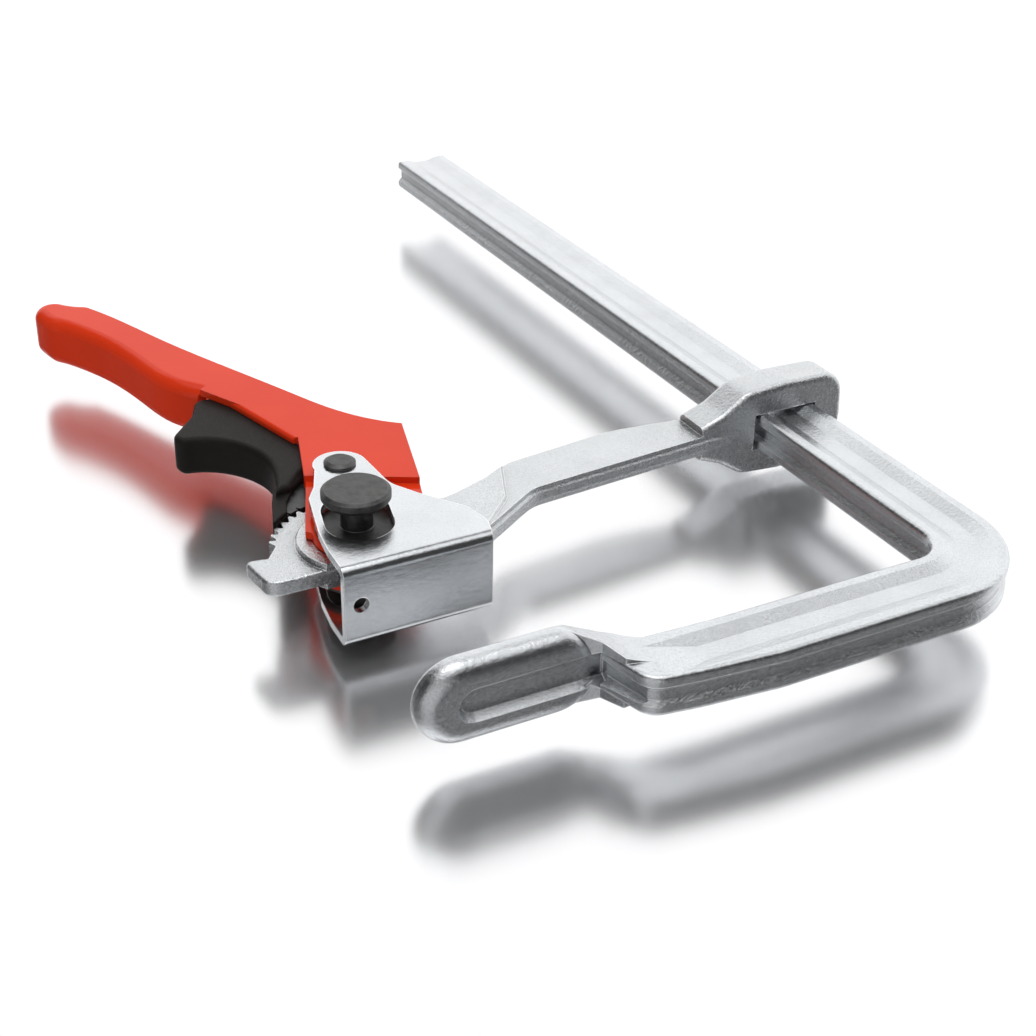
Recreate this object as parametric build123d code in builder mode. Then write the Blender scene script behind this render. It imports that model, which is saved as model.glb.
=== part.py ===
from build123d import *
import os
from math import atan2, cos, radians, sin, tan

os.makedirs("parts", exist_ok=True)

# Lever clamp: a forged rail with a fixed arm, an arm that slides on the rail, and a
# ratchet lever that drives a pressure plate against the work. Sizes in millimetres.
#
# Origin at the centre of the fixed pad's clamping face. +Y runs along the rail away
# from the fixed arm, +X from the jaws to the rail, and +Z up. The forgings, the lever,
# the pawl and the trigger are the same above and below the XY plane. The pressure
# plate and its rivet hang a little lower, by the plate's play.

# Driving sizes: rail and fixed arm
throat_depth = 140.0
rail_width = 22.5
rail_thickness = 12.3
rail_reach = 366.7
fixed_arm_width = 22.5
corner_radius = 33.0
inside_corner_radius = 10.2
rail_edge_radius = 1.5
channel_width = 15.0
channel_floor = 6.2
channel_depth = 1.5
groove_width = 6.0
groove_depth = 1.4
pad_length = 53.0
pad_height = 25.0
pad_thickness = 8.2
pad_rim_radius = 5.0
pad_face_radius = 2.0
recess_length = 43.5
recess_height = 10.6
recess_depth = 2.6
recess_draft = 32.0
valley_height = 8.4
valley_depth = 3.0

# Driving sizes: sliding arm
jaw_gap = 48.4
slide_gap = 0.3
slot_play = 1.2
housing_front = 85.3
housing_depth = 14.0
housing_half_height = 16.0
housing_wall = 11.9
housing_edge_radius = 2.2
bar_thickness = 15.0
bar_land = 4.2
bar_draft = 9.0
bar_chamfer = 0.8
front_elbow_radius = 14.0
back_elbow_radius = 12.0
bulge_radius = 60.0
ridge_radius = 3.0
ramp_bend_radius = 12.0
ramp_top_radius = 7.0
end_corner_radius = 8.0
neck_thickness = 8.4
neck_chamfer = 0.6
neck_back_radius = 20.0
flange_thickness = 5.0
lug_edge_radius = 1.1
lug_front_radius = 4.5
lug_back_radius = 1.8
boss_radius = 18.0
pivot_x = -7.0
pivot_y = 76.0
tooth_tip_radius = 25.5
tooth_height = 1.9
tooth_pitch = 8.7
tooth_count = 9
first_tooth_angle = -7.0
tooth_rise, tooth_land, tooth_fall = 0.12, 0.34, 0.80
bush_wall = 2.2
fit_gap = 0.05
seat_gap = 0.02

# Driving sizes: lever and its pivots
sheet = 2.3
lever_height = 17.6
nose_height = 13.6
nose_radius = 13.0
grip_end_radius = 6.6
grip_edge_radius = 4.2
grip_edge_lean = 8.0
cheek_radius = 7.6
lip_radius = 1.3
pivot_shank_radius = 5.0
stem_radius = 4.75
pivot_head_radius = 10.2
pivot_head_thickness = 3.9
lower_head_rim = 0.6
pivot_height = 40.4
collar_radius = 12.2
collar_thickness = 1.4
link_length = 30.5
link_angle = 14.0
rivet_radius = 2.8
rivet_head_radius = 4.9
rivet_head_height = 1.5
hub_radius = 4.6
hub_pocket_radius = 6.3
spacer_wall = 1.3
side_play = 0.1
washer_radius = 6.5

# Driving sizes: pressure plate
plate_width = 46.0
plate_height = 25.6
plate_drop = 0.9
plate_sheet = 2.5
plate_bend_radius = 3.2
plate_slot_radius = 10.0
plate_tab_radius = 8.2
plate_hole_radius = 2.4
plate_hole_offset = 17.9

# Driving sizes: trigger, pawl and spring
trigger_thickness = 12.8
trigger_leg_thickness = 8.0
trigger_edge_radius = 2.0
trigger_crown_radius = 3.5
trigger_tip_radius = 4.5
trigger_hook_radius = 2.5
pawl_thickness = 5.6
pawl_clearance = 0.3
wire_radius = 0.45
spring_radius = 5.3
spring_turns = 2.5
spring_pitch = 1.0

# Places worked out from the driving sizes
half_rail = rail_thickness / 2
rail_inner = throat_depth
rail_outer = throat_depth + rail_width
rail_middle = throat_depth + rail_width / 2
arm_inner = -pad_thickness
arm_outer = arm_inner - fixed_arm_width
arm_middle = arm_inner - fixed_arm_width / 2
middle_radius = corner_radius - rail_width / 2
half_pad = pad_length / 2
half_groove = groove_width / 2
bush_radius = pivot_shank_radius + fit_gap + bush_wall
link_x = pivot_x + link_length * sin(radians(link_angle))
link_y = pivot_y + link_length * cos(radians(link_angle))
half_lever = lever_height / 2
half_nose = nose_height / 2
plate_top = plate_height / 2 - plate_drop
plate_bottom = -plate_height / 2 - plate_drop
half_pivot = pivot_height / 2
half_pawl = pawl_thickness / 2
half_trigger = trigger_thickness / 2
clear_radius = tooth_tip_radius + pawl_clearance
past = 5.0


def at_pivot(distance, angle):
    """Point at a distance from the lever's pivot, its angle taken from +Y towards -X."""
    turn = radians(angle)
    return (pivot_x - distance * sin(turn), pivot_y + distance * cos(turn))


def beside_link(*offsets):
    """Points given by their offsets from the rivet that links lever and plate."""
    return [(link_x + x, link_y + y) for x, y in offsets]


def closest(shape, point):
    """The one vertex of a sketch that is closest to a point."""
    return shape.vertices().sort_by_distance(Vector(*point))[0]


def rim(part):
    """The edges that lie wholly in a part's lowest and highest faces."""
    return part.edges().group_by(Axis.Z)[0] + part.edges().group_by(Axis.Z)[-1]


def square_to(run, rise=0.0):
    """Plane over the start of a level line, square to it, with x to its left and y up."""
    start, heading = run @ 0, run % 0
    return Plane(origin=start + Vector(0, 0, rise), x_dir=(-heading.Y, heading.X, 0), z_dir=heading)


# Channel in the broad faces of the rail and the fixed arm, fading out before the pad
channel_end = half_pad + 9.0
channel_fade = 14.0
with BuildPart() as broad_channel:
    with BuildLine() as channel_run:
        FilletPolyline(
            (rail_middle, rail_reach + past, half_rail),
            (rail_middle, arm_middle, half_rail),
            (channel_end, arm_middle, half_rail),
            radius=middle_radius,
        )
    with BuildSketch(square_to(channel_run.line)):
        Polygon(
            (-channel_width / 2, 0),
            (-channel_width / 2, 1),
            (channel_width / 2, 1),
            (channel_width / 2, 0),
            (channel_floor / 2, -channel_depth),
            (-channel_floor / 2, -channel_depth),
            align=None,
        )
    sweep()
    split(
        bisect_by=Plane(
            origin=(channel_end, 0, half_rail),
            x_dir=(0, 1, 0),
            z_dir=(channel_depth, 0, channel_fade),
        ),
        keep=Keep.TOP,
    )

# Outer line of the fixed arm from the rail's end to the pad, shared by forging and groove
bend_point = (half_pad + 42.0, arm_outer)
taper_point = (half_pad + 18.0, arm_outer + 2.3)
heel_point = (half_pad + 3.0, arm_outer + 4.6)
root_point = (half_pad - 2.0, arm_inner + 0.5)
shoulder_point = (half_pad + 34.0, arm_inner)
hollow_point = (half_pad + 10.0, arm_inner + 1.2)
crest_point = (half_pad + 4.5, arm_inner + 4.8)
bend_radius = 40.0
taper_radius = 30.0
heel_radius = 7.0
hollow_radius = 8.0

# Groove along the outer and inner edges
with BuildPart() as outer_groove:
    with BuildLine() as outer_run:
        FilletPolyline(
            (rail_outer, rail_reach + past),
            (rail_outer, arm_outer),
            bend_point,
            taper_point,
            heel_point,
            root_point,
            radius=[corner_radius, bend_radius, taper_radius, heel_radius],
        )
    with BuildSketch(square_to(outer_run.line)):
        Polygon(
            (1, -half_groove),
            (1, half_groove),
            (0, half_groove),
            (-groove_depth, half_groove - groove_depth),
            (-groove_depth, groove_depth - half_groove),
            (0, -half_groove),
            align=None,
        )
    sweep()

with BuildPart() as inner_groove:
    with BuildLine() as inner_run:
        FilletPolyline(
            (rail_inner, rail_reach + past),
            (rail_inner, arm_inner),
            (half_pad + 48.0, arm_inner),
            radius=inside_corner_radius,
        )
    with BuildSketch(square_to(inner_run.line)):
        Polygon(
            (-1, -half_groove),
            (-1, half_groove),
            (0, half_groove),
            (groove_depth, half_groove - groove_depth),
            (groove_depth, groove_depth - half_groove),
            (0, -half_groove),
            align=None,
        )
    sweep()

# Valley in the steep end of the arm, from the pad's recess to the outer groove
steep = Vector(heel_point[0] - root_point[0], heel_point[1] - root_point[1], 0).normalized()
valley_start = Vector(*root_point) - steep * 1.5
valley_stop = Vector(*heel_point) + steep * 3.0
with BuildPart() as valley:
    for place, high, deep in (
        (valley_start, valley_height, valley_depth),
        (valley_stop, groove_width - 1.0, groove_depth),
    ):
        with BuildSketch(Plane(origin=place, x_dir=(-steep.Y, steep.X, 0), z_dir=steep)):
            Polygon(
                (deep, high / 2 - deep / 2),
                (-3, high / 2 + 1.5),
                (-3, -high / 2 - 1.5),
                (deep, deep / 2 - high / 2),
                align=None,
            )
    loft()

# Fairing that carries the pad's round end into the arm's thinner flanges
fairing_rise = [
    (half_pad - 9.0, pad_height / 2 - 0.7),
    (half_pad - 6.5, pad_height / 2 - 1.6),
    (half_pad - 1.5, pad_height / 2 - 3.6),
    (half_pad + 3.5, half_rail + 0.9),
    (half_pad + 11.0, half_rail - 0.1),
]
with BuildPart() as fairing:
    with BuildSketch():
        Polygon(
            (half_pad - 9.0, arm_inner / 2),
            (half_pad - 1.3, arm_inner - 0.6),
            (half_pad + 1.2, arm_inner - 8.6),
            (half_pad + 11.0, arm_middle),
            (half_pad + 11.0, arm_inner + 0.6),
            crest_point,
            (half_pad - 9.0, -0.8),
            align=None,
        )
    extrude(amount=pad_height / 2, both=True)
    with BuildSketch(Plane.XZ.offset(past)):
        with BuildLine():
            Spline(*fairing_rise)
            Spline(*[(x, -z) for x, z in fairing_rise])
            Line(fairing_rise[0], (fairing_rise[0][0], -fairing_rise[0][1]))
            Line(fairing_rise[-1], (fairing_rise[-1][0], -fairing_rise[-1][1]))
        make_face()
    extrude(amount=fixed_arm_width + 2 * past, both=True, mode=Mode.INTERSECT)

# Rail and fixed arm, one forging with an oval pad on its end
with BuildPart() as rail:
    with BuildSketch() as rail_plan:
        with BuildLine():
            Polyline(
                (rail_outer, rail_reach),
                (rail_outer, arm_outer),
                bend_point,
                taper_point,
                heel_point,
                root_point,
                (half_pad - 7.0, arm_inner / 2),
                crest_point,
                hollow_point,
                shoulder_point,
                (rail_inner, arm_inner),
                (rail_inner, rail_reach),
                close=True,
            )
        make_face()
        fillet(closest(rail_plan, (rail_outer, arm_outer)), corner_radius)
        fillet(closest(rail_plan, (rail_inner, arm_inner)), inside_corner_radius)
        fillet(closest(rail_plan, bend_point), bend_radius)
        fillet(closest(rail_plan, taper_point), taper_radius)
        fillet(closest(rail_plan, heel_point), heel_radius)
        fillet(closest(rail_plan, shoulder_point), bend_radius)
        fillet(closest(rail_plan, hollow_point), hollow_radius)
    extrude(amount=half_rail, both=True)
    fillet(rim(rail), rail_edge_radius)

with BuildPart() as pad:
    with BuildSketch(Plane.XZ):
        SlotOverall(pad_length, pad_height)
    extrude(amount=pad_thickness)
    fillet(pad.edges().group_by(Axis.Y)[0], pad_rim_radius)
    fillet(pad.edges().group_by(Axis.Y)[-1], pad_face_radius)

# Recess in the pad, round at its far end and open towards the valley
recess_mouth = half_pad + 1.0
recess_middle = recess_mouth + (recess_height - recess_length) / 2
with BuildPart() as recess:
    for depth in (-1.0, recess_depth):
        narrowing = 2 * depth * tan(radians(recess_draft))
        with BuildSketch(Plane.XZ.offset(pad_thickness - depth)):
            with Locations((recess_middle, 0)):
                SlotOverall(recess_length + recess_height - narrowing, recess_height - narrowing)
    loft()
    split(bisect_by=Plane.YZ.offset(recess_mouth), keep=Keep.BOTTOM)

with BuildPart() as rail_and_fixed_arm:
    add(rail.part)
    add(pad.part)
    add(fairing.part)
    add(broad_channel.part, mode=Mode.SUBTRACT)
    mirror(broad_channel.part, about=Plane.XY, mode=Mode.SUBTRACT)
    add(outer_groove.part, mode=Mode.SUBTRACT)
    add(inner_groove.part, mode=Mode.SUBTRACT)
    add(recess.part, mode=Mode.SUBTRACT)
    add(valley.part, mode=Mode.SUBTRACT)

# Sliding arm: bar, housing round the rail, thin neck, boss and toothed flange
housing_back = housing_front + housing_depth
bar_root = rail_inner - 10.0
half_bar = bar_thickness / 2
half_land = bar_land / 2
front_elbow = (pivot_x + 60.0, housing_front - 6.3)
back_elbow = (pivot_x + 59.0, housing_back - 0.9)
back_bulge = (rail_inner - 47.0, housing_back + 4.0)
ridge_point = (pivot_x + 33.0, pivot_y - 4.0)
with BuildPart() as bar:
    with BuildSketch(Plane.XY.offset(half_land)) as bar_plan:
        with BuildLine():
            Polyline(
                (bar_root, housing_front),
                front_elbow,
                (pivot_x + 44.0, pivot_y - 7.3),
                (pivot_x + 34.6, pivot_y - 13.2),
                ridge_point,
                (pivot_x + 47.6, pivot_y + 13.2),
                back_elbow,
                back_bulge,
                (bar_root, housing_back - 0.4),
                close=True,
            )
        make_face()
        fillet(closest(bar_plan, front_elbow), front_elbow_radius)
        fillet(closest(bar_plan, ridge_point), ridge_radius)
        fillet(closest(bar_plan, back_elbow), back_elbow_radius)
        fillet(closest(bar_plan, back_bulge), bulge_radius)
    extrude(amount=-half_land)
    extrude(to_extrude=bar_plan.sketch, amount=half_bar - half_land, taper=bar_draft)
    chamfer(bar.edges().group_by(Axis.Z)[-1], bar_chamfer)
    mirror(about=Plane.XY)

ramp_foot = (rail_inner - 21.5, half_bar - 1.6)
ramp_bend = (rail_inner - 13.4, half_bar + 1.5)
ramp_top = (rail_inner - 4.6, housing_half_height - 1.2)
crown = (rail_inner + 10.0, housing_half_height)
end_corner = (rail_outer + housing_wall - 0.9, housing_half_height - 0.8)
with BuildPart() as housing:
    with BuildSketch(Plane.XZ.offset(-housing_front)) as housing_side:
        with BuildLine():
            upper = [ramp_foot, ramp_bend, ramp_top, crown, end_corner]
            Polyline(
                *upper,
                (rail_outer + housing_wall, 0),
                *[(x, -z) for x, z in reversed(upper)],
                close=True,
            )
        make_face()
        for (x, z), radius in (
            (ramp_bend, ramp_bend_radius),
            (ramp_top, ramp_top_radius),
            (end_corner, end_corner_radius),
        ):
            for side in (1, -1):
                fillet(closest(housing_side, (x, side * z)), radius)
    extrude(amount=-housing_depth)
    fillet(housing.faces().sort_by(Axis.Y)[0].edges().sort_by(Axis.X)[1:], housing_edge_radius)
    fillet(housing.faces().sort_by(Axis.Y)[-1].edges().sort_by(Axis.X)[1:], housing_edge_radius)

last_tooth_angle = first_tooth_angle + tooth_pitch * tooth_count
root_radius = tooth_tip_radius - tooth_height
tooth_points = []
for tooth in range(tooth_count):
    start = first_tooth_angle + tooth_pitch * tooth
    tooth_points.append(at_pivot(root_radius, start))
    tooth_points.append(at_pivot(tooth_tip_radius, start + tooth_pitch * tooth_rise))
    tooth_points.append(at_pivot(tooth_tip_radius, start + tooth_pitch * tooth_land))
    tooth_points.append(at_pivot(root_radius, start + tooth_pitch * tooth_fall))
flange_front = pivot_y - 11.0
neck_back = (pivot_x + 34.0, pivot_y + 10.0)
lug_front = (pivot_x - 31.6, flange_front)
lug_back = (pivot_x - 33.4, pivot_y + 4.4)
with BuildPart() as flange:
    with BuildSketch() as flange_plan:
        with BuildLine():
            Polyline(
                (pivot_x + 34.0, flange_front - 1.0),
                lug_front,
                lug_back,
                (pivot_x - 26.0, pivot_y + 3.0),
                at_pivot(root_radius, last_tooth_angle),
                *reversed(tooth_points),
                (pivot_x + 24.0, pivot_y + 9.8),
                neck_back,
                close=True,
            )
        make_face()
        fillet(closest(flange_plan, lug_front), lug_front_radius)
        fillet(closest(flange_plan, lug_back), lug_back_radius)
    extrude(amount=flange_thickness / 2, both=True)
    lug_edges = [
        edge
        for edge in rim(flange)
        if edge.center().Y < pivot_y + 3.0 and edge.center().X < pivot_x + past
    ]
    fillet(lug_edges, lug_edge_radius)

with BuildPart() as neck:
    with BuildSketch() as neck_plan:
        with BuildLine():
            Polyline(
                (pivot_x, flange_front),
                (pivot_x + 30.0, flange_front - 1.0),
                (pivot_x + 38.0, pivot_y - 10.0),
                (pivot_x + 50.0, pivot_y + 2.0),
                (pivot_x + 58.0, pivot_y + 20.5),
                (pivot_x + 49.0, pivot_y + 15.5),
                neck_back,
                (pivot_x + 17.0, pivot_y + 9.6),
                (pivot_x, pivot_y + boss_radius),
                close=True,
            )
        make_face()
        with Locations((pivot_x, pivot_y)):
            Circle(boss_radius)
        with Locations((pivot_x, flange_front - boss_radius)):
            Rectangle(3 * boss_radius, 2 * boss_radius, mode=Mode.SUBTRACT)
        fillet(closest(neck_plan, neck_back), neck_back_radius)
    extrude(amount=neck_thickness / 2, both=True)
    chamfer(rim(neck), neck_chamfer)

slot_low = rail_inner - slot_play
slot_high = rail_outer + slide_gap
with BuildPart() as sliding_arm:
    add(bar.part)
    add(housing.part)
    add(flange.part)
    add(neck.part)
    with BuildSketch(Plane.XZ.offset(past - housing_front)):
        with Locations(((slot_low + slot_high) / 2, 0)):
            Rectangle(slot_high - slot_low, rail_thickness + 2 * slide_gap)
    extrude(amount=-(housing_depth + 2 * past), mode=Mode.SUBTRACT)
    with Locations((pivot_x, pivot_y, 0)):
        Hole(bush_radius + seat_gap)

with BuildPart() as pivot_bush:
    with BuildSketch(Plane.XY.offset(-neck_thickness / 2)):
        with Locations((pivot_x, pivot_y)):
            Circle(bush_radius)
            Circle(pivot_shank_radius + fit_gap, mode=Mode.SUBTRACT)
    extrude(amount=neck_thickness)

# Pressure plate: a U of sheet whose web presses the work and whose flanges straddle the arm
half_width = plate_width / 2
plate_depth = link_y + plate_tab_radius - jaw_gap
slot_turn = atan2(link_x - pivot_x, link_y - pivot_y)
slot_ahead = 5.5
slot_behind = 2.0
slot_front = (pivot_x - slot_ahead * sin(slot_turn), pivot_y - slot_ahead * cos(slot_turn))
slot_back = (pivot_x + slot_behind * sin(slot_turn), pivot_y + slot_behind * cos(slot_turn))
with BuildPart() as plate_inside:
    with Locations((0, jaw_gap + plate_sheet + plate_depth, -plate_drop)):
        Box(3 * plate_width, 2 * plate_depth, plate_height - 2 * plate_sheet)
    fillet(
        plate_inside.edges().filter_by(Axis.X).group_by(Axis.Y)[0],
        plate_bend_radius - plate_sheet,
    )

plate_left = [(-half_width + 0.6, jaw_gap + 12.0), (-half_width + 2.2, jaw_gap + 23.0)]
plate_right = [(half_width + 2.2, jaw_gap + 8.0), (half_width + 0.6, jaw_gap + 17.0)]
plate_corner_radii = (8.0, 6.0, 20.0, 12.0, 4.0, 4.0)
tab_left = beside_link((-16.4, -15.5), (-12.6, -10.0))
tab_right = beside_link((14.0, -27.0), (8.6, -17.5))
with BuildPart() as pressure_plate:
    with BuildSketch(Plane.XY.offset(plate_bottom)) as plate_plan:
        with BuildLine():
            Polyline(
                (-half_width, jaw_gap),
                (half_width, jaw_gap),
                *plate_right,
                *tab_right,
                (link_x + plate_tab_radius, link_y),
                (link_x - plate_tab_radius, link_y),
                *reversed(tab_left),
                *reversed(plate_left),
                close=True,
            )
        make_face()
        for corner, radius in zip(plate_right + tab_right + tab_left, plate_corner_radii):
            fillet(closest(plate_plan, corner), radius)
        with Locations((link_x, link_y)):
            Circle(plate_tab_radius)
    extrude(amount=plate_height)
    fillet(pressure_plate.edges().filter_by(Axis.X).group_by(Axis.Y)[0], plate_bend_radius)
    add(plate_inside.part, mode=Mode.SUBTRACT)
    with BuildSketch(Plane.XY.offset(plate_bottom - past)):
        with Locations(slot_front, slot_back):
            Circle(plate_slot_radius)
        make_hull()
    extrude(amount=plate_height + 2 * past, mode=Mode.SUBTRACT)
    with Locations((link_x, link_y, 0)):
        Hole(rivet_radius + fit_gap)
    with BuildSketch(Plane.XZ.offset(-jaw_gap)):
        with Locations((-plate_hole_offset, -plate_drop / 2)):
            Circle(plate_hole_radius)
    extrude(amount=-plate_sheet, mode=Mode.SUBTRACT)

# Lever: a U of red sheet, closed on its outer side along the grip, stepped in at the nose
step_left, step_right, notch = beside_link((-10.4, 3.2), (20.4, -13.2), (-2.6, 27.5))
lip_start, lip_end = beside_link((-4.2, 27.7), (-13.0, 61.0))
back_corner = (link_x + 30.6, link_y + 21.8)
grip_end = (link_x - 43.8, link_y + 160.4)
end_start_angle = 188.0
end_middle_angle = 110.0
end_stop_angle = 35.0
inside_middle_angle = 120.0
inside_stop_angle = 60.0
wall_heading = (-0.62, 0.78)
back_heading = (0.80, -0.60)
wall_facing = (0.96, 0.30)
run_out_radius = 16.0
run_out_turn = 60.0


def at_grip_end(angle, radius=grip_end_radius):
    """Point on a circle round the grip's end."""
    turn = radians(angle)
    return (grip_end[0] + radius * cos(turn), grip_end[1] + radius * sin(turn))


def along(angle):
    """Direction of travel on that circle, taken clockwise from the back side."""
    return (sin(radians(angle)), -cos(radians(angle)))


outer_points = beside_link(
    (-18.8, 73.0), (-26.2, 84.0), (-30.6, 101.0), (-34.6, 120.0), (-40.0, 135.0), (-46.6, 147.5)
)
back_points = beside_link(
    (-26.4, 140.5), (-17.9, 117.0), (-1.6, 78.0), (7.2, 57.6), (15.0, 40.6), (30.6, 21.8)
)
wall_bottom = outer_points[0]
outer_tangents = [wall_heading, along(end_start_angle)]
round_end = [at_grip_end(angle) for angle in (end_start_angle, end_middle_angle, end_stop_angle)]

with BuildPart() as grip_rounding:
    with BuildLine() as grip_run:
        Spline(*outer_points, at_grip_end(end_start_angle), tangents=outer_tangents)
        ThreePointArc(*round_end)
        JernArc(round_end[-1], along(end_stop_angle), run_out_radius, run_out_turn)
    lean = radians(grip_edge_lean)
    centre = -grip_edge_radius
    with BuildSketch(square_to(grip_run.line, half_lever)):
        with BuildLine():
            arc = [
                (centre + grip_edge_radius * sin(turn), centre + grip_edge_radius * cos(turn))
                for turn in (lean, radians(45), radians(90) - lean)
            ]
            ThreePointArc(*arc)
            Polyline(
                arc[2],
                (arc[2][0] + sin(lean), arc[2][1] - cos(lean)),
                (2, arc[2][1] - cos(lean)),
                (2, 2),
                (arc[0][0] - cos(lean), 2),
                (arc[0][0] - cos(lean), arc[0][1] + sin(lean)),
                arc[0],
            )
        make_face()
    sweep()

with BuildPart() as lever_shape:
    with BuildSketch() as lever_plan:
        with BuildLine():
            Polyline(step_left, notch, lip_start, lip_end, wall_bottom)
            Spline(*outer_points, at_grip_end(end_start_angle), tangents=outer_tangents)
            ThreePointArc(*round_end)
            Spline(
                round_end[-1],
                *back_points,
                tangents=[along(end_stop_angle), back_heading],
            )
            Polyline(back_corner, step_right, step_left)
        make_face()
        with Locations((link_x, link_y)):
            Circle(cheek_radius)
    extrude(amount=half_lever)
    lip_middle = Vector((lip_start[0] + lip_end[0]) / 2, (lip_start[1] + lip_end[1]) / 2, half_lever)
    fillet(lever_shape.edges().sort_by_distance(lip_middle)[0], lip_radius)
    add(grip_rounding.part, mode=Mode.SUBTRACT)
    mirror(about=Plane.XY)

with BuildPart() as nose_shape:
    with BuildSketch() as nose_plan:
        with BuildLine():
            Polyline(
                *beside_link((-9.0, 5.5)),
                (pivot_x - nose_radius - 1.0, pivot_y + 5.0),
                (pivot_x, pivot_y - nose_radius + 1.0),
                (pivot_x + 25.0, pivot_y + 8.0),
                *beside_link((21.5, -9.8)),
                close=True,
            )
        make_face()
        with Locations((pivot_x, pivot_y)):
            Circle(nose_radius)
    extrude(amount=half_nose, both=True)

wall_inside = [(x + wall_facing[0] * sheet, y + wall_facing[1] * sheet) for x, y in outer_points[1:]]
inside_radius = grip_end_radius - sheet
inside_start = at_grip_end(end_start_angle, inside_radius)
inside_stop = at_grip_end(inside_stop_angle, inside_radius)
wall_start = (wall_bottom[0] + sheet, wall_bottom[1] + 1.0)
with BuildPart() as grip_hollow:
    with BuildSketch():
        with BuildLine():
            Spline(wall_start, *wall_inside, inside_start)
            ThreePointArc(inside_start, at_grip_end(inside_middle_angle, inside_radius), inside_stop)
            Polyline(
                inside_stop,
                *beside_link(
                    (20.0, 140.0), (60.0, 20.0), (22.0, -10.8), (-8.4, 5.4), (-60.0, 35.0)
                ),
                (link_x - 60.0, wall_start[1]),
                wall_start,
            )
        make_face()
    extrude(amount=half_lever - sheet, both=True)

with BuildPart() as lever_body:
    add(lever_shape.part)
    add(nose_shape.part)
    add(grip_hollow.part, mode=Mode.SUBTRACT)
    with Locations((link_x, link_y, 0)):
        Cylinder(hub_pocket_radius, 2 * (half_lever - sheet), mode=Mode.SUBTRACT)
    with BuildSketch(Plane.XY.offset(sheet - half_nose)):
        with Locations((link_x, link_y + 4 * past)):
            Rectangle(8 * nose_radius, 6 * nose_radius, align=(Align.CENTER, Align.MAX))
    extrude(amount=nose_height - 2 * sheet, mode=Mode.SUBTRACT)
    with Locations((link_x, link_y, 0)):
        Hole(rivet_radius + seat_gap)
    with Locations((pivot_x, pivot_y, 0)):
        Hole(pivot_shank_radius + seat_gap)

# Pivot: a headed bolt through nose, bush and plate slot, with a head riveted on below
shoulder = half_nose + collar_thickness
lower_seat = half_pivot - 0.4
with BuildPart() as pivot_bolt:
    with BuildSketch(Plane.XZ.offset(-pivot_y)):
        with Locations((pivot_x, 0)):
            Polygon(
                (0, half_pivot),
                (pivot_head_radius - 1.0, half_pivot),
                (pivot_head_radius, half_pivot - 0.8),
                (pivot_head_radius, half_pivot - pivot_head_thickness + 1.3),
                (pivot_head_radius - 0.9, half_pivot - pivot_head_thickness),
                (stem_radius, half_pivot - pivot_head_thickness),
                (stem_radius, shoulder),
                (pivot_shank_radius, shoulder),
                (pivot_shank_radius, -shoulder),
                (stem_radius, -shoulder),
                (stem_radius, -lower_seat),
                (0, -lower_seat),
                align=None,
            )
    revolve(axis=Axis((pivot_x, pivot_y, 0), (0, 0, 1)))

with BuildPart() as pivot_lower_head:
    with BuildSketch(Plane.XY.offset(-half_pivot)):
        with Locations((pivot_x, pivot_y)):
            Circle(pivot_head_radius)
            Circle(stem_radius + seat_gap, mode=Mode.SUBTRACT)
    extrude(amount=pivot_head_thickness)
    fillet(pivot_lower_head.edges().group_by(Axis.Z)[0].sort_by(SortBy.RADIUS)[-1], lower_head_rim)

for low, label in ((half_nose, "upper"), (-shoulder, "lower")):
    with BuildPart() as collar:
        with BuildSketch(Plane.XY.offset(low)):
            with Locations((pivot_x, pivot_y)):
                Circle(collar_radius)
                Circle(pivot_shank_radius + seat_gap, mode=Mode.SUBTRACT)
        extrude(amount=collar_thickness)
    collar.part.label = "pivot_collar_" + label
    export_step(collar.part, "parts/pivot_collar_" + label + ".step")

# Rivet that joins plate and lever, and carries the pawl between two spacers
rivet_top = plate_top + side_play
rivet_bottom = plate_bottom - side_play
crown_radius = rivet_head_radius - 1.3
shoulder_height = rivet_head_height - 0.8
with BuildPart() as plate_rivet:
    with BuildSketch(Plane.XZ.offset(-link_y)):
        with Locations((link_x, 0)):
            Polygon(
                (0, rivet_top + rivet_head_height),
                (crown_radius, rivet_top + rivet_head_height),
                (rivet_head_radius, rivet_top + shoulder_height),
                (rivet_head_radius, rivet_top),
                (rivet_radius, rivet_top),
                (rivet_radius, rivet_bottom),
                (rivet_head_radius, rivet_bottom),
                (rivet_head_radius, rivet_bottom - shoulder_height),
                (crown_radius, rivet_bottom - rivet_head_height),
                (0, rivet_bottom - rivet_head_height),
                align=None,
            )
    revolve(axis=Axis((link_x, link_y, 0), (0, 0, 1)))

plate_inside_top = plate_top - plate_sheet - side_play
plate_inside_bottom = plate_bottom + plate_sheet + side_play
for low, high, label in (
    (half_lever, plate_inside_top, "upper"),
    (plate_inside_bottom, -half_lever, "lower"),
):
    with BuildPart() as washer:
        with BuildSketch(Plane.XY.offset(low)):
            with Locations((link_x, link_y)):
                Circle(washer_radius)
                Circle(rivet_radius + seat_gap, mode=Mode.SUBTRACT)
        extrude(amount=high - low)
    washer.part.label = "plate_washer_" + label
    export_step(washer.part, "parts/plate_washer_" + label + ".step")

spacer_length = half_lever - sheet - half_pawl - side_play
for low, label in ((half_pawl + side_play, "upper"), (sheet - half_lever, "lower")):
    with BuildPart() as spacer:
        with BuildSketch(Plane.XY.offset(low)):
            with Locations((link_x, link_y)):
                Circle(rivet_radius + spacer_wall)
                Circle(rivet_radius + seat_gap, mode=Mode.SUBTRACT)
        extrude(amount=spacer_length)
    spacer.part.label = "pawl_spacer_" + label
    export_step(spacer.part, "parts/pawl_spacer_" + label + ".step")

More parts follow.
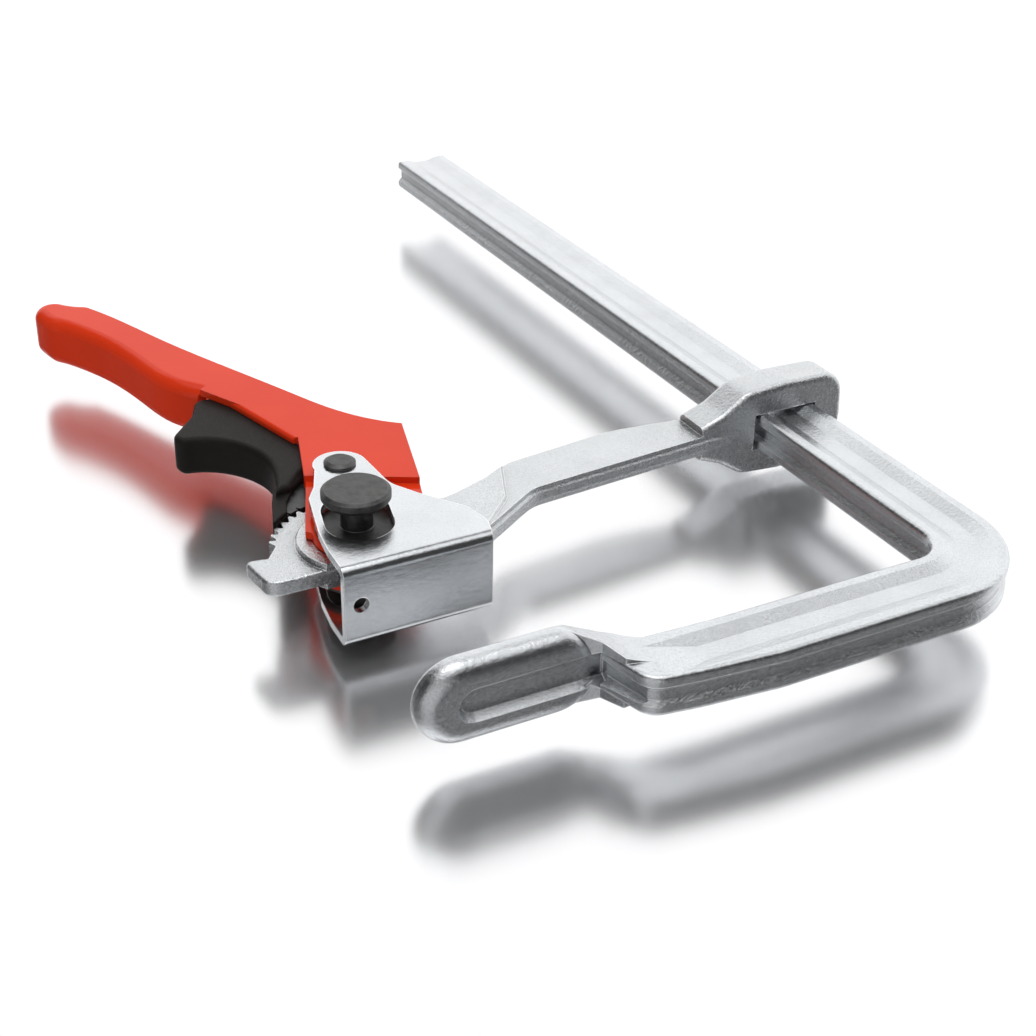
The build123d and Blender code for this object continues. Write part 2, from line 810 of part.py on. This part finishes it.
# Pawl: a steel plate that turns on the rivet, its nose over the flange's teeth
pawl_line = beside_link(
    (1.0, -hub_radius),
    (-8.0, -9.0),
    (-25.4, -13.2),
    (-25.2, -8.0),
    (-18.6, 4.0),
    (-14.0, 10.0),
    (-13.6, 22.0),
    (-17.2, 34.0),
    (-12.4, 36.0),
    (-8.4, 24.0),
    (-8.0, 10.0),
    (0.0, hub_radius),
)
first_gap_angle = 19.0
gap_count = 3
with BuildPart() as ratchet_pawl:
    with BuildSketch():
        Polygon(*pawl_line, align=None)
        with Locations((link_x, link_y)):
            Circle(hub_radius)
        with Locations((pivot_x, pivot_y)):
            Circle(clear_radius, mode=Mode.SUBTRACT)
        for gap in range(gap_count):
            angle = first_gap_angle + tooth_pitch * gap
            Polygon(
                at_pivot(clear_radius - 1, angle - 2.6),
                at_pivot(clear_radius + 1.7, angle),
                at_pivot(clear_radius - 1, angle + 1.4),
                align=None,
                mode=Mode.SUBTRACT,
            )
    extrude(amount=half_pawl, both=True)
    with Locations((link_x, link_y, 0)):
        Hole(rivet_radius + fit_gap)

# Release trigger: black plastic moulded round the pawl's tail
trigger_crown, trigger_shoulder, trigger_tip, trigger_hook, trigger_toe = beside_link(
    (-21.6, 71.2), (-26.0, 61.8), (-36.4, 50.2), (-34.8, 45.4), (-19.9, 2.6)
)
leg_line = beside_link(
    (-18.8, 8.0), (-22.6, -1.0), (-26.2, -11.0), (-22.0, -13.0), (-18.4, -1.8), (-13.0, 6.0)
)
finger_curve = beside_link((-25.4, 41.8), (-18.6, 34.0), (-15.0, 22.0), (-16.8, 10.6))
with BuildPart() as release_trigger:
    with BuildSketch(Plane.XY.offset(-half_trigger)) as trigger_plan:
        with BuildLine():
            inner_line = beside_link(
                (-15.2, 3.2),
                (-12.5, 6.0),
                (-9.6, 9.0),
                (-1.4, 15.0),
                (-0.8, 24.0),
                (-3.6, 40.0),
                (-8.0, 60.0),
                (-12.0, 71.2),
            )
            Polyline(trigger_toe, *inner_line, trigger_crown, trigger_shoulder, trigger_tip, trigger_hook)
            Spline(trigger_hook, *finger_curve, trigger_toe)
        make_face()
        for corner, radius in (
            (trigger_crown, trigger_crown_radius),
            (trigger_tip, trigger_tip_radius),
            (trigger_hook, trigger_hook_radius),
        ):
            fillet(closest(trigger_plan, corner), radius)
    extrude(amount=trigger_thickness)
    fillet(rim(release_trigger), trigger_edge_radius)
    with BuildSketch(Plane.XY.offset(-trigger_leg_thickness / 2)):
        Polygon(*leg_line, align=None)
    extrude(amount=trigger_leg_thickness)
    with Locations((pivot_x, pivot_y, 0)):
        Cylinder(clear_radius, 2 * trigger_thickness, mode=Mode.SUBTRACT)
    with BuildSketch(Plane.XY.offset(-half_pawl - seat_gap)):
        Polygon(*pawl_line, align=None)
        offset(amount=seat_gap)
    extrude(amount=pawl_thickness + 2 * seat_gap, mode=Mode.SUBTRACT)

# Torsion spring round the upper spacer
coil_low = half_pawl + side_play + wire_radius + side_play
with BuildPart() as trigger_spring:
    with BuildLine():
        Helix(
            spring_pitch,
            spring_pitch * spring_turns,
            spring_radius,
            center=(link_x, link_y, coil_low),
        )
    with BuildSketch(Plane(origin=(link_x + spring_radius, link_y, coil_low), z_dir=(0, 1, 0))):
        Circle(wire_radius)
    sweep(is_frenet=True)

finished = {
    "rail_and_fixed_arm": rail_and_fixed_arm,
    "sliding_arm": sliding_arm,
    "pivot_bush": pivot_bush,
    "pressure_plate": pressure_plate,
    "lever_body": lever_body,
    "pivot_bolt": pivot_bolt,
    "pivot_lower_head": pivot_lower_head,
    "plate_rivet": plate_rivet,
    "ratchet_pawl": ratchet_pawl,
    "release_trigger": release_trigger,
    "trigger_spring": trigger_spring,
}
for name, piece in finished.items():
    piece.part.label = name
    export_step(piece.part, "parts/" + name + ".step")
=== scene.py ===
from math import cos, radians, sin

import bpy
from mathutils import Matrix, Vector


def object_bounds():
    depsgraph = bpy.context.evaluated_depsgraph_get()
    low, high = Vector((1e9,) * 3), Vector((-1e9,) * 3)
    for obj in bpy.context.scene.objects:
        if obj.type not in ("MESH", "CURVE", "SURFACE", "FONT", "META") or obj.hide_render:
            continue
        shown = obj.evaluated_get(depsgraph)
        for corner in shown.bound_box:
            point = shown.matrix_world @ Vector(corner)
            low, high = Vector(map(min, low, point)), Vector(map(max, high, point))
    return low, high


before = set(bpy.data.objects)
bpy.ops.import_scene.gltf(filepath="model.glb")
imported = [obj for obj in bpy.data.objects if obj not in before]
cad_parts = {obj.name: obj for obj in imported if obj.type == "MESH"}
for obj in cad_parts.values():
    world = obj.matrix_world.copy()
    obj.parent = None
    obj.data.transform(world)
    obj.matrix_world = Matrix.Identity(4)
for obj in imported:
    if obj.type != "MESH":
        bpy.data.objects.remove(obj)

cad_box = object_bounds()

# Camera of the photograph, solved from the straight lines of rail, arms and plate
CAMERA_PLACE = (-0.17709, -0.33177, 0.26624)
CAMERA_AZIMUTH = -28.668
CAMERA_ELEVATION = 30.116
CAMERA_ROLL = 1.157
SENSOR = 36.0
FOCAL_PIXELS = 1767.56
IMAGE_WIDTH = 1036

# Studio that the metal mirrors. A side is a direction, an edge the two cosines between
# which one strength blends into the next (for the roof, the two heights).
FAR_SIDE = (0.707, 0.707, 0.0)
WINDOW_SIDE = (-0.707, -0.707, 0.0)
WALL_EDGE = (0.18, 0.55)
WINDOW_EDGE = (0.60, 0.85)
ROOF_EDGE = (0.72, 0.88)
ROOF_SPLIT = (0.22, 0.48)
NEAR_SIDE_LIGHT = 0.06
FAR_SIDE_LIGHT = 1.25
WINDOW_LIGHT = 0.60
NEAR_ROOF_LIGHT = 1.15
FAR_ROOF_LIGHT = 0.15
KEY_PLACE = (0.05, 0.121, 1.2)
KEY_TARGET = (0.05, 0.12, 0.0)
KEY_SIZE = (0.5, 0.5)
KEY_POWER = 2.2

FLOOR_HALF = 3.0
FLOOR_COLOUR = (0.93, 0.93, 0.94)
FLOOR_METALLIC = 0.87
FLOOR_ROUGHNESS = 0.22

# Tints, and the stretch of a grain that is the same all ways or longer along X
BRIGHT_ZINC = (0.71, 0.73, 0.75)
FORGED_ZINC = (0.69, 0.71, 0.725)
TURNED_STEEL = (0.45, 0.45, 0.46)
SPRING_WIRE = (0.35, 0.35, 0.36)
BLACKENED = (0.125, 0.123, 0.122)
HARDENED = (0.11, 0.11, 0.11)
# Near white that is painted along zinc edges as a highlight
EDGE_HIGHLIGHT = (0.92, 0.93, 0.94)
RED_DEEP = (0.87, 0.048, 0.011)
RED_BRIGHT = (0.95, 0.060, 0.015)
PLASTIC_DARK = (0.009, 0.008, 0.007)
PLASTIC_LIGHT = (0.015, 0.013, 0.011)
EVEN = (1, 1, 1)
ALONG_X = (0.5, 1, 1)

# Widths in metres: edges rounded by the shader, zinc edges given a painted highlight, black oxide
# edges worn bright, reach of the painted shade in crevices
STEEL_EDGE = 0.0004
PAINT_EDGE = 0.0006
PLASTIC_EDGE = 0.0012
ZINC_EDGE_HIGHLIGHT = 0.0008
WORN_BLACK = 0.0006
CREVICE_SHADE_REACH = 0.004

# Cosines between rounded and true normal where an edge mask starts and is full, and the
# open shares where a crevice mask starts and is full
EDGE_STARTS, EDGE_FULL = 0.995, 0.86
CREVICE_STARTS, CREVICE_FULL = 0.95, 0.45


def make_camera():
    """Camera at the photograph's place, turned by azimuth, elevation and roll."""
    azimuth, elevation = radians(CAMERA_AZIMUTH), radians(CAMERA_ELEVATION)
    roll = radians(CAMERA_ROLL)
    back = Vector((sin(azimuth) * cos(elevation), -cos(azimuth) * cos(elevation), sin(elevation)))
    level = Vector((cos(azimuth), sin(azimuth), 0.0))
    upright = back.cross(level)
    right = level * cos(roll) + upright * sin(roll)
    up = upright * cos(roll) - level * sin(roll)
    data = bpy.data.cameras.new("camera")
    data.sensor_width = SENSOR
    data.lens = FOCAL_PIXELS * SENSOR / IMAGE_WIDTH
    data.clip_start = 0.01
    data.clip_end = 20.0
    camera = bpy.data.objects.new("camera", data)
    turn = Matrix((right, up, back)).transposed().to_4x4()
    camera.matrix_world = Matrix.Translation(CAMERA_PLACE) @ turn
    bpy.context.scene.collection.objects.link(camera)
    bpy.context.scene.camera = camera


class Graph:
    """A material's node tree, with short calls to add and join nodes."""

    def __init__(self, name):
        self.material = bpy.data.materials.new(name)
        self.material.use_nodes = True
        self.tree = self.material.node_tree
        self.shader = self.tree.nodes["Principled BSDF"]
        self.place = self.node("ShaderNodeTexCoord").outputs["Object"]

    def node(self, kind, **values):
        made = self.tree.nodes.new(kind)
        for key, value in values.items():
            setattr(made, key, value)
        return made

    def join(self, source, target):
        self.tree.links.new(source, target)

    def stretched(self, scale):
        """Object coordinates, multiplied by one number for each axis."""
        mapping = self.node("ShaderNodeMapping")
        mapping.inputs["Scale"].default_value = scale
        self.join(self.place, mapping.inputs["Vector"])
        return mapping.outputs["Vector"]

    def noise(self, scale, detail, roughness=0.55, stretch=EVEN):
        """Noise in object space. Scale counts features in a metre."""
        made = self.node("ShaderNodeTexNoise")
        made.inputs["Scale"].default_value = scale
        made.inputs["Detail"].default_value = detail
        made.inputs["Roughness"].default_value = roughness
        self.join(self.stretched(stretch), made.inputs["Vector"])
        return made.outputs["Fac"]

    def ranged(self, value, low, high, out_low, out_high):
        """A value between low and high, carried over to the out range and clamped there."""
        made = self.node("ShaderNodeMapRange")
        numbers = {"From Min": low, "From Max": high, "To Min": out_low, "To Max": out_high}
        for key, number in numbers.items():
            made.inputs[key].default_value = number
        self.join(value, made.inputs["Value"])
        return made.outputs["Result"]

    def ramp(self, value, stops):
        """Colour read from a list of (place, colour) stops."""
        made = self.node("ShaderNodeValToRGB")
        elements = made.color_ramp.elements
        while len(elements) < len(stops):
            elements.new(0.5)
        for element, (place, colour) in zip(elements, stops):
            element.position = place
            element.color = (*colour, 1.0)
        self.join(value, made.inputs["Fac"])
        return made.outputs["Color"]

    def bump(self, value, height, before):
        """Bump of a height in metres, on top of an earlier normal."""
        made = self.node("ShaderNodeBump")
        made.inputs["Distance"].default_value = height
        self.join(value, made.inputs["Height"])
        self.join(before, made.inputs["Normal"])
        return made.outputs["Normal"]

    def soft_edges(self, radius):
        """Normal that rounds each edge by a radius in metres."""
        made = self.node("ShaderNodeBevel", samples=6)
        made.inputs["Radius"].default_value = radius
        return made.outputs["Normal"]

    def edge_mask(self, radius):
        """1 on an edge, 0 away from it: how far the rounded normal leans from the true one."""
        rounded = self.soft_edges(radius)
        true_normal = self.node("ShaderNodeNewGeometry").outputs["Normal"]
        dot = self.node("ShaderNodeVectorMath", operation="DOT_PRODUCT")
        self.join(rounded, dot.inputs[0])
        self.join(true_normal, dot.inputs[1])
        return self.ranged(dot.outputs["Value"], EDGE_STARTS, EDGE_FULL, 0.0, 1.0)

    def shade_in_crevices(self, reach):
        """Mask for painted shade: 1 in a groove or an inside corner, 0 in the open."""
        made = self.node("ShaderNodeAmbientOcclusion", samples=4, only_local=True)
        made.inputs["Distance"].default_value = reach
        return self.ranged(made.outputs["AO"], CREVICE_STARTS, CREVICE_FULL, 0.0, 1.0)

    def mix(self, factor, first, second):
        """First colour where factor is 0, second where it is 1."""
        made = self.node("ShaderNodeMix", data_type="RGBA")
        self.join(factor, made.inputs["Factor"])
        for socket, colour in ((made.inputs["A"], first), (made.inputs["B"], second)):
            if isinstance(colour, tuple):
                socket.default_value = (*colour, 1.0)
            else:
                self.join(colour, socket)
        return made.outputs["Result"]


def zinc(name, tint, grain_scale, grain_height, stretch, roughness, speckle):
    """Zinc plated steel: fine grain and dark specks, with painted shade in crevices and a painted
    highlight on edges.
    """
    graph = Graph(name)
    rough_low, rough_high = roughness
    mottle = graph.noise(60.0, detail=5.0)
    grain = graph.noise(grain_scale, detail=6.0, roughness=0.65, stretch=stretch)
    specks = graph.noise(3.0 * grain_scale, detail=3.0, roughness=0.7, stretch=stretch)
    dark = tuple(0.91 * part for part in tint)
    # Dark colour for the specks, also painted into crevices as shade
    pit_and_shade = tuple(0.45 * part for part in tint)
    colour = graph.ramp(mottle, [(0.30, dark), (0.70, tint)])
    pitted = graph.mix(graph.ranged(specks, 0.50, 0.36, 0.0, speckle), colour, pit_and_shade)
    # Painted shade: grooves and inside corners take the dark pit colour
    crevice_shaded = graph.mix(graph.shade_in_crevices(CREVICE_SHADE_REACH), pitted, pit_and_shade)
    # Painted highlight: every edge is blended towards near white
    lighter_edges = graph.mix(graph.edge_mask(ZINC_EDGE_HIGHLIGHT), crevice_shaded, EDGE_HIGHLIGHT)
    graph.join(lighter_edges, graph.shader.inputs["Base Color"])
    uneven = graph.ranged(grain, 0.25, 0.75, rough_low, rough_high)
    graph.join(uneven, graph.shader.inputs["Roughness"])
    graph.shader.inputs["Metallic"].default_value = 1.0
    normal = graph.bump(grain, grain_height, graph.soft_edges(STEEL_EDGE))
    graph.join(normal, graph.shader.inputs["Normal"])
    return graph.material


def red_paint():
    """Gloss powder coat over sheet steel, with a faint orange peel."""
    graph = Graph("red_paint")
    drift = graph.noise(25.0, detail=2.0)
    peel = graph.noise(700.0, detail=2.0)
    colour = graph.ramp(drift, [(0.3, RED_DEEP), (0.7, RED_BRIGHT)])
    graph.join(colour, graph.shader.inputs["Base Color"])
    graph.shader.inputs["Roughness"].default_value = 0.35
    graph.shader.inputs["Specular IOR Level"].default_value = 0.0
    graph.shader.inputs["Coat Weight"].default_value = 0.5
    graph.shader.inputs["Coat Roughness"].default_value = 0.05
    normal = graph.bump(peel, 0.00002, graph.soft_edges(PAINT_EDGE))
    graph.join(normal, graph.shader.inputs["Normal"])
    return graph.material


def black_oxide(name, tint, roughness):
    """Blackened steel, with turned or rubbed marks that show lighter."""
    graph = Graph(name)
    mottle = graph.noise(350.0, detail=6.0)
    dark = tuple(0.55 * part for part in tint)
    colour = graph.ramp(mottle, [(0.35, dark), (0.65, tint)])
    rubbed = tuple(1.8 * part for part in tint)
    lighter_edges = graph.mix(graph.edge_mask(WORN_BLACK), colour, rubbed)
    graph.join(lighter_edges, graph.shader.inputs["Base Color"])
    uneven = graph.ranged(mottle, 0.3, 0.7, roughness - 0.08, roughness + 0.08)
    graph.join(uneven, graph.shader.inputs["Roughness"])
    graph.shader.inputs["Metallic"].default_value = 0.85
    normal = graph.bump(mottle, 0.00006, graph.soft_edges(STEEL_EDGE))
    graph.join(normal, graph.shader.inputs["Normal"])
    return graph.material


def trigger_plastic():
    """Black moulded plastic with a fine matt grain."""
    graph = Graph("trigger_plastic")
    grain = graph.noise(2600.0, detail=3.0)
    drift = graph.noise(40.0, detail=2.0)
    colour = graph.ramp(drift, [(0.3, PLASTIC_DARK), (0.7, PLASTIC_LIGHT)])
    graph.join(colour, graph.shader.inputs["Base Color"])
    graph.shader.inputs["Specular IOR Level"].default_value = 0.16
    graph.join(graph.ranged(grain, 0.3, 0.7, 0.45, 0.62), graph.shader.inputs["Roughness"])
    normal = graph.bump(grain, 0.00005, graph.soft_edges(PLASTIC_EDGE))
    graph.join(normal, graph.shader.inputs["Normal"])
    return graph.material


def dress():
    """Give every node of the frame its finish."""
    looks = {
        "rolled": zinc("rolled_steel", BRIGHT_ZINC, 850.0, 0.00016, EVEN, (0.14, 0.28), 0.35),
        "forged": zinc("forged_steel", FORGED_ZINC, 900.0, 0.00025, EVEN, (0.16, 0.32), 0.40),
        "sheet": zinc("plate_steel", BRIGHT_ZINC, 900.0, 0.00006, ALONG_X, (0.12, 0.24), 0.2),
        "turned": zinc("bush_steel", TURNED_STEEL, 1200.0, 0.00002, EVEN, (0.25, 0.35), 0.2),
        "red": red_paint(),
        "black": black_oxide("black_oxide", BLACKENED, 0.45),
        "pawl": black_oxide("pawl_steel", HARDENED, 0.36),
        "plastic": trigger_plastic(),
        "wire": zinc("spring_steel", SPRING_WIRE, 1500.0, 0.00001, EVEN, (0.3, 0.4), 0.2),
    }
    wearing = {
        "rail_and_fixed_arm": "rolled",
        "sliding_arm": "forged",
        "pivot_bush": "turned",
        "pressure_plate": "sheet",
        "lever_body": "red",
        "pivot_bolt": "black",
        "pivot_lower_head": "black",
        "pivot_collar_upper": "black",
        "pivot_collar_lower": "black",
        "plate_rivet": "black",
        "plate_washer_upper": "turned",
        "plate_washer_lower": "turned",
        "pawl_spacer_upper": "turned",
        "pawl_spacer_lower": "turned",
        "ratchet_pawl": "pawl",
        "release_trigger": "plastic",
        "trigger_spring": "wire",
    }
    for node, look in wearing.items():
        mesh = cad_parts[node].data
        mesh.materials.clear()
        mesh.materials.append(looks[look])


def make_floor(level):
    """A plain pale floor with a satin sheen."""
    graph = Graph("floor")
    graph.shader.inputs["Base Color"].default_value = (*FLOOR_COLOUR, 1.0)
    graph.shader.inputs["Metallic"].default_value = FLOOR_METALLIC
    graph.shader.inputs["Roughness"].default_value = FLOOR_ROUGHNESS
    mesh = bpy.data.meshes.new("floor")
    signs = [(-1, -1), (1, -1), (1, 1), (-1, 1)]
    corners = [(FLOOR_HALF * x, FLOOR_HALF * y, level) for x, y in signs]
    mesh.from_pydata(corners, [], [(0, 1, 2, 3)])
    mesh.materials.append(graph.material)
    floor = bpy.data.objects.new("floor", mesh)
    bpy.context.scene.collection.objects.link(floor)


def area_light(name, place, target, size, power):
    data = bpy.data.lights.new(name, "AREA")
    data.shape = "RECTANGLE"
    data.size, data.size_y = size
    data.energy = power
    light = bpy.data.objects.new(name, data)
    light.location = place
    light.rotation_euler = (Vector(target) - Vector(place)).to_track_quat("-Z", "Y").to_euler()
    bpy.context.scene.collection.objects.link(light)


def make_studio():
    """World that the metal mirrors: bright far wall, dark near side with one window, pale roof."""
    world = bpy.data.worlds.new("studio")
    world.use_nodes = True
    tree = world.node_tree

    def node(kind, **values):
        made = tree.nodes.new(kind)
        for key, value in values.items():
            setattr(made, key, value)
        return made

    def eased(value, low, high, out_low, out_high):
        """Smooth step from out_low to out_high, each a number or a socket."""
        made = node("ShaderNodeMapRange", interpolation_type="SMOOTHSTEP")
        for key, number in (("From Min", low), ("From Max", high)):
            made.inputs[key].default_value = number
        for key, part in (("To Min", out_low), ("To Max", out_high)):
            if isinstance(part, float):
                made.inputs[key].default_value = part
            else:
                tree.links.new(part, made.inputs[key])
        tree.links.new(value, made.inputs["Value"])
        return made.outputs["Result"]

    direction = node("ShaderNodeTexCoord").outputs["Generated"]

    def along(side):
        """Cosine between the looked-at direction and a side."""
        made = node("ShaderNodeVectorMath", operation="DOT_PRODUCT")
        made.inputs[1].default_value = side
        tree.links.new(direction, made.inputs[0])
        return made.outputs["Value"]

    ahead = along(FAR_SIDE)
    split = node("ShaderNodeSeparateXYZ")
    tree.links.new(direction, split.inputs["Vector"])
    dark_wall = eased(ahead, *WALL_EDGE, NEAR_SIDE_LIGHT, FAR_SIDE_LIGHT)
    wall = eased(along(WINDOW_SIDE), *WINDOW_EDGE, dark_wall, WINDOW_LIGHT)
    roof = eased(ahead, *ROOF_SPLIT, NEAR_ROOF_LIGHT, FAR_ROOF_LIGHT)
    roofed = eased(split.outputs["Z"], *ROOF_EDGE, wall, roof)
    tree.links.new(roofed, tree.nodes["Background"].inputs["Strength"])
    tree.nodes["Background"].inputs["Color"].default_value = (1.0, 1.0, 1.0, 1.0)
    bpy.context.scene.world = world
    bpy.context.scene.view_settings.view_transform = "Standard"


def light_studio():
    area_light("key", KEY_PLACE, KEY_TARGET, KEY_SIZE, KEY_POWER)


make_camera()
dress()
make_floor(cad_box[0][2])
make_studio()
light_studio()
